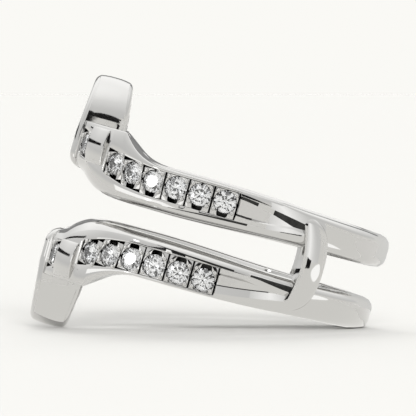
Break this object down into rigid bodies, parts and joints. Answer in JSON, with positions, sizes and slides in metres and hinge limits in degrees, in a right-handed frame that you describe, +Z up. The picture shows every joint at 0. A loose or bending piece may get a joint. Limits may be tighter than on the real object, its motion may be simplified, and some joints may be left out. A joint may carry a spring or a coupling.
{
  "type": "ring guard enhancer",
  "caption": "Polished white metal ring guard: stone-set bands with arched heads, joined by bridge bars, made to hold a solitaire ring between them.",
  "frame": {"origin": "on the surface that the guard lies on, under the middle of its box", "axes": "+X from the arched heads to the back of the shank, +Z up; the finger hole's axis leans 15.7 degrees from +Z toward +X"},
  "size_m": [0.0236, 0.0222, 0.0168],
  "materials": {
    "white_gold": "mirror-polished rhodium-plated white gold",
    "stone": "brilliant-cut clear diamond"
  },
  "bodies": {
    "root": {"guard": "white_gold", "stone_upper_near_1": "stone", "stone_upper_near_2": "stone", "stone_upper_near_3": "stone", "stone_upper_near_4": "stone", "stone_upper_near_5": "stone", "stone_upper_near_6": "stone", "stone_upper_near_7": "stone", "stone_upper_far_1": "stone", "stone_upper_far_2": "stone", "stone_upper_far_3": "stone", "stone_upper_far_4": "stone", "stone_upper_far_5": "stone", "stone_upper_far_6": "stone", "stone_upper_far_7": "stone", "stone_lower_near_1": "stone", "stone_lower_near_2": "stone", "stone_lower_near_3": "stone", "stone_lower_near_4": "stone", "stone_lower_near_5": "stone", "stone_lower_near_6": "stone", "stone_lower_near_7": "stone", "stone_lower_far_1": "stone", "stone_lower_far_2": "stone", "stone_lower_far_3": "stone", "stone_lower_far_4": "stone", "stone_lower_far_5": "stone", "stone_lower_far_6": "stone", "stone_lower_far_7": "stone"}
  },
  "joints": []
}
